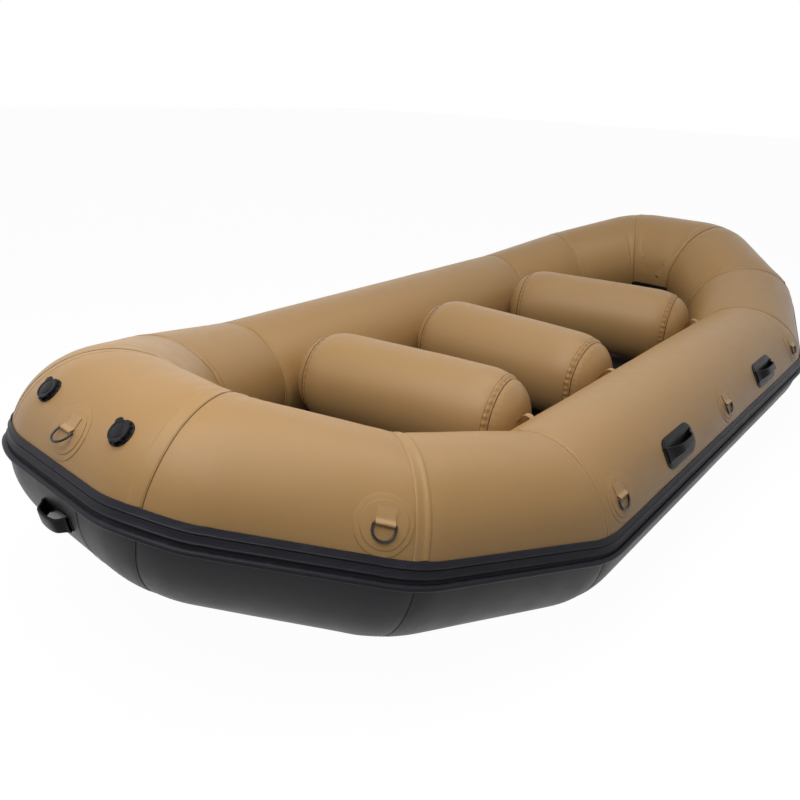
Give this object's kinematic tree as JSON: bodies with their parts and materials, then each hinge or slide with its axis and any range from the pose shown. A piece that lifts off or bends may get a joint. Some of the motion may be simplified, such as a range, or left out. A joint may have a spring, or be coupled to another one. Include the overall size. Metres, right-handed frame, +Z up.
{
  "type": "inflatable river raft",
  "caption": "Inflatable river raft with upturned ends, air-filled cross thwarts and floor, rubber rub strake, D-rings, carry handles and capped air valves.",
  "frame": {"origin": "on the ground, under the middle of the raft's overall box", "axes": "+X to the bow, +Y to port, +Z up; the raft rests on its two straight side tubes at z = 0"},
  "size_m": [4.1502, 1.9852, 0.7434],
  "materials": {
    "tan_fabric": "satin tan coated fabric",
    "dark_fabric": "satin dark grey coated fabric",
    "strake_rubber": "satin dark grey moulded rubber",
    "black_rubber": "satin black moulded rubber",
    "black_plastic": "semi-gloss black moulded plastic",
    "black_wire": "black coated steel wire"
  },
  "bodies": {
    "raft": {"bow_d_ring_mount": "tan_fabric", "bow_lower_skin": "dark_fabric", "bow_port_valve_body": "black_plastic", "bow_starboard_valve_body": "black_plastic", "bow_thwart": "tan_fabric", "bow_tow_handle": "black_rubber", "bow_upper_skin": "tan_fabric", "inflatable_floor": "dark_fabric", "middle_thwart": "tan_fabric", "port_bow_carry_handle": "black_rubber", "port_bow_quarter_d_ring_mount": "tan_fabric", "port_lower_skin": "dark_fabric", "port_side_bow_d_ring_mount": "tan_fabric", "port_side_middle_d_ring_mount": "tan_fabric", "port_side_stern_d_ring_mount": "tan_fabric", "port_stern_carry_handle": "black_rubber", "port_stern_quarter_d_ring_mount": "tan_fabric", "port_upper_skin": "tan_fabric", "rub_strake_port": "strake_rubber", "rub_strake_starboard": "strake_rubber", "starboard_bow_carry_handle": "black_rubber", "starboard_bow_quarter_d_ring_mount": "tan_fabric", "starboard_lower_skin": "dark_fabric", "starboard_side_bow_d_ring_mount": "tan_fabric", "starboard_side_middle_d_ring_mount": "tan_fabric", "starboard_side_stern_d_ring_mount": "tan_fabric", "starboard_stern_carry_handle": "black_rubber", "starboard_stern_quarter_d_ring_mount": "tan_fabric", "starboard_upper_skin": "tan_fabric", "stern_d_ring_mount": "tan_fabric", "stern_lower_skin": "dark_fabric", "stern_port_valve_body": "black_plastic", "stern_starboard_valve_body": "black_plastic", "stern_thwart": "tan_fabric", "stern_tow_handle": "black_rubber", "stern_upper_skin": "tan_fabric"},
    "bow_d_ring": {"bow_d_ring": "black_wire"},
    "bow_port_valve_cap": {"bow_port_valve_cap": "black_plastic"},
    "bow_port_valve_poppet": {"bow_port_valve_poppet": "black_plastic"},
    "bow_starboard_valve_cap": {"bow_starboard_valve_cap": "black_plastic"},
    "bow_starboard_valve_poppet": {"bow_starboard_valve_poppet": "black_plastic"},
    "bow_thwart_valve_cap": {"bow_thwart_valve_cap": "black_plastic"},
    "floor_valve_cap": {"floor_valve_cap": "black_plastic"},
    "middle_thwart_valve_cap": {"middle_thwart_valve_cap": "black_plastic"},
    "port_bow_quarter_d_ring": {"port_bow_quarter_d_ring": "black_wire"},
    "port_side_bow_d_ring": {"port_side_bow_d_ring": "black_wire"},
    "port_side_middle_d_ring": {"port_side_middle_d_ring": "black_wire"},
    "port_side_stern_d_ring": {"port_side_stern_d_ring": "black_wire"},
    "port_stern_quarter_d_ring": {"port_stern_quarter_d_ring": "black_wire"},
    "starboard_bow_quarter_d_ring": {"starboard_bow_quarter_d_ring": "black_wire"},
    "starboard_side_bow_d_ring": {"starboard_side_bow_d_ring": "black_wire"},
    "starboard_side_middle_d_ring": {"starboard_side_middle_d_ring": "black_wire"},
    "starboard_side_stern_d_ring": {"starboard_side_stern_d_ring": "black_wire"},
    "starboard_stern_quarter_d_ring": {"starboard_stern_quarter_d_ring": "black_wire"},
    "stern_d_ring": {"stern_d_ring": "black_wire"},
    "stern_port_valve_cap": {"stern_port_valve_cap": "black_plastic"},
    "stern_port_valve_poppet": {"stern_port_valve_poppet": "black_plastic"},
    "stern_starboard_valve_cap": {"stern_starboard_valve_cap": "black_plastic"},
    "stern_starboard_valve_poppet": {"stern_starboard_valve_poppet": "black_plastic"},
    "stern_thwart_valve_cap": {"stern_thwart_valve_cap": "black_plastic"}
  },
  "joints": [
    {"name": "bow_d_ring_swing", "type": "hinge", "parent": "raft", "child": "bow_d_ring", "pos_m": [1.98509, 0, 0.65435], "axis": [0, -1, 0], "range_deg": [-30, 120]},
    {"name": "bow_port_valve_cap_flip", "type": "hinge", "parent": "raft", "child": "bow_port_valve_cap", "pos_m": [1.96129, 0.19322, 0.68482], "axis": [-0.5873, 0.6913, 0.4209], "range_deg": [0, 110]},
    {"name": "bow_port_valve_poppet_press", "type": "slide", "parent": "raft", "child": "bow_port_valve_poppet", "axis": [-0.6093, -0.0353, -0.7921], "range_m": [0, 0.006], "stiffness_N_per_m": 400, "springref_m": -0.004},
    {"name": "bow_starboard_valve_cap_flip", "type": "hinge", "parent": "raft", "child": "bow_starboard_valve_cap", "pos_m": [1.96296, -0.15013, 0.68546], "axis": [-0.5328, 0.7217, 0.442], "range_deg": [0, 110]},
    {"name": "bow_starboard_valve_poppet_press", "type": "slide", "parent": "raft", "child": "bow_starboard_valve_poppet", "axis": [-0.6093, 0.0353, -0.7921], "range_m": [0, 0.006], "stiffness_N_per_m": 400, "springref_m": -0.004},
    {"name": "bow_thwart_valve_cap_pull", "type": "slide", "parent": "raft", "child": "bow_thwart_valve_cap", "axis": [-0.8529, -0.1504, -0.5], "range_m": [0, 0.03]},
    {"name": "floor_valve_cap_pull", "type": "slide", "parent": "raft", "child": "floor_valve_cap", "axis": [0, 0, 1], "range_m": [0, 0.03]},
    {"name": "middle_thwart_valve_cap_pull", "type": "slide", "parent": "raft", "child": "middle_thwart_valve_cap", "axis": [-0.866, 0, -0.5], "range_m": [0, 0.03]},
    {"name": "port_bow_quarter_d_ring_swing", "type": "hinge", "parent": "raft", "child": "port_bow_quarter_d_ring", "pos_m": [1.61538, 0.68434, 0.52751], "axis": [0.6802, -0.6844, 0.2624], "range_deg": [0, 150]},
    {"name": "port_side_bow_d_ring_swing", "type": "hinge", "parent": "raft", "child": "port_side_bow_d_ring", "pos_m": [0.90052, 0.94516, 0.39621], "axis": [1, 0, 0], "range_deg": [0, 150]},
    {"name": "port_side_middle_d_ring_swing", "type": "hinge", "parent": "raft", "child": "port_side_middle_d_ring", "pos_m": [0, 0.94516, 0.39621], "axis": [1, 0, 0], "range_deg": [0, 150]},
    {"name": "port_side_stern_d_ring_swing", "type": "hinge", "parent": "raft", "child": "port_side_stern_d_ring", "pos_m": [-0.90052, 0.94516, 0.39621], "axis": [1, 0, 0], "range_deg": [0, 150]},
    {"name": "port_stern_quarter_d_ring_swing", "type": "hinge", "parent": "raft", "child": "port_stern_quarter_d_ring", "pos_m": [-1.61538, 0.68434, 0.52751], "axis": [0.6802, 0.6844, -0.2624], "range_deg": [0, 150]},
    {"name": "starboard_bow_quarter_d_ring_swing", "type": "hinge", "parent": "raft", "child": "starboard_bow_quarter_d_ring", "pos_m": [1.61538, -0.68434, 0.52751], "axis": [-0.6802, -0.6844, -0.2624], "range_deg": [0, 150]},
    {"name": "starboard_side_bow_d_ring_swing", "type": "hinge", "parent": "raft", "child": "starboard_side_bow_d_ring", "pos_m": [0.90052, -0.94516, 0.39621], "axis": [-1, 0, 0], "range_deg": [0, 150]},
    {"name": "starboard_side_middle_d_ring_swing", "type": "hinge", "parent": "raft", "child": "starboard_side_middle_d_ring", "pos_m": [0, -0.94516, 0.39621], "axis": [-1, 0, 0], "range_deg": [0, 150]},
    {"name": "starboard_side_stern_d_ring_swing", "type": "hinge", "parent": "raft", "child": "starboard_side_stern_d_ring", "pos_m": [-0.90052, -0.94516, 0.39621], "axis": [-1, 0, 0], "range_deg": [0, 150]},
    {"name": "starboard_stern_quarter_d_ring_swing", "type": "hinge", "parent": "raft", "child": "starboard_stern_quarter_d_ring", "pos_m": [-1.61538, -0.68434, 0.52751], "axis": [-0.6802, 0.6844, 0.2624], "range_deg": [0, 150]},
    {"name": "stern_d_ring_swing", "type": "hinge", "parent": "raft", "child": "stern_d_ring", "pos_m": [-1.98509, 0, 0.65435], "axis": [0, 1, 0], "range_deg": [0, 150]},
    {"name": "stern_port_valve_cap_flip", "type": "hinge", "parent": "raft", "child": "stern_port_valve_cap", "pos_m": [-1.96296, 0.15013, 0.68546], "axis": [0.5328, -0.7217, 0.442], "range_deg": [0, 110]},
    {"name": "stern_port_valve_poppet_press", "type": "slide", "parent": "raft", "child": "stern_port_valve_poppet", "axis": [0.6093, -0.0353, -0.7921], "range_m": [0, 0.006], "stiffness_N_per_m": 400, "springref_m": -0.004},
    {"name": "stern_starboard_valve_cap_flip", "type": "hinge", "parent": "raft", "child": "stern_starboard_valve_cap", "pos_m": [-1.96129, -0.19322, 0.68482], "axis": [0.5873, -0.6913, 0.4209], "range_deg": [0, 110]},
    {"name": "stern_starboard_valve_poppet_press", "type": "slide", "parent": "raft", "child": "stern_starboard_valve_poppet", "axis": [0.6093, 0.0353, -0.7921], "range_m": [0, 0.006], "stiffness_N_per_m": 400, "springref_m": -0.004},
    {"name": "stern_thwart_valve_cap_pull", "type": "slide", "parent": "raft", "child": "stern_thwart_valve_cap", "axis": [-0.8529, -0.1504, -0.5], "range_m": [0, 0.03]}
  ]
}
